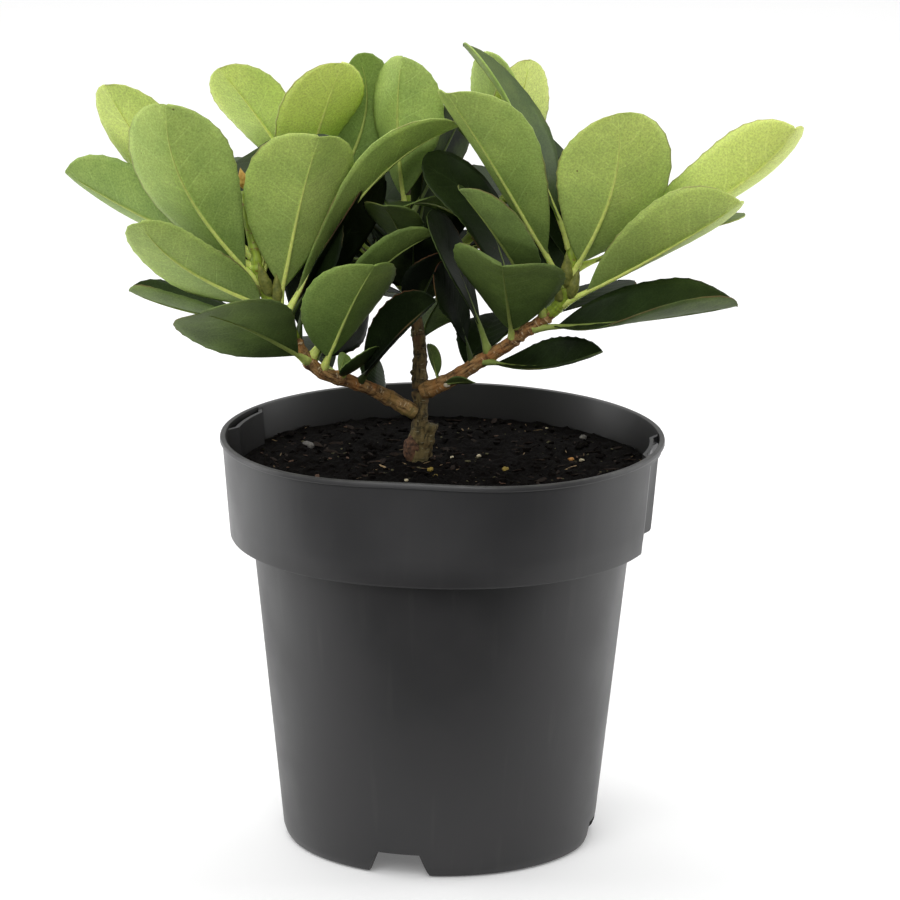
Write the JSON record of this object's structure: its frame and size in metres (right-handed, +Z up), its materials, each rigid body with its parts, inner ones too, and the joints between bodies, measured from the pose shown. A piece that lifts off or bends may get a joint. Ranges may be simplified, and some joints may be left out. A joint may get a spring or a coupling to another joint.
{
  "type": "potted shrub",
  "caption": "Young evergreen hawthorn shrub with leathery obovate leaves on short forked boughs, growing in a round dark nursery pot filled with potting mix",
  "frame": {"origin": "centre of the pot's flat underside, on the pot's axis", "axes": "+Z up along the pot's axis, +X to the right and -Y towards the side seen in the picture"},
  "size_m": [0.3114, 0.1964, 0.3454],
  "materials": {
    "pot_plastic": "matt charcoal, injection moulded",
    "potting_mix": "crumbly, rough",
    "bark": "thin brown bark, slightly rough",
    "leaf_green": "leathery, dark glossy upper face and pale matt underside"
  },
  "bodies": {
    "root": {"pot": "pot_plastic", "soil": "potting_mix", "trunk": "bark", "left_bough": "bark", "right_bough": "bark", "centre_bough": "bark", "left_foliage": "leaf_green", "right_foliage": "leaf_green", "centre_foliage": "leaf_green", "back_left_foliage": "leaf_green", "back_right_foliage": "leaf_green"}
  },
  "joints": []
}
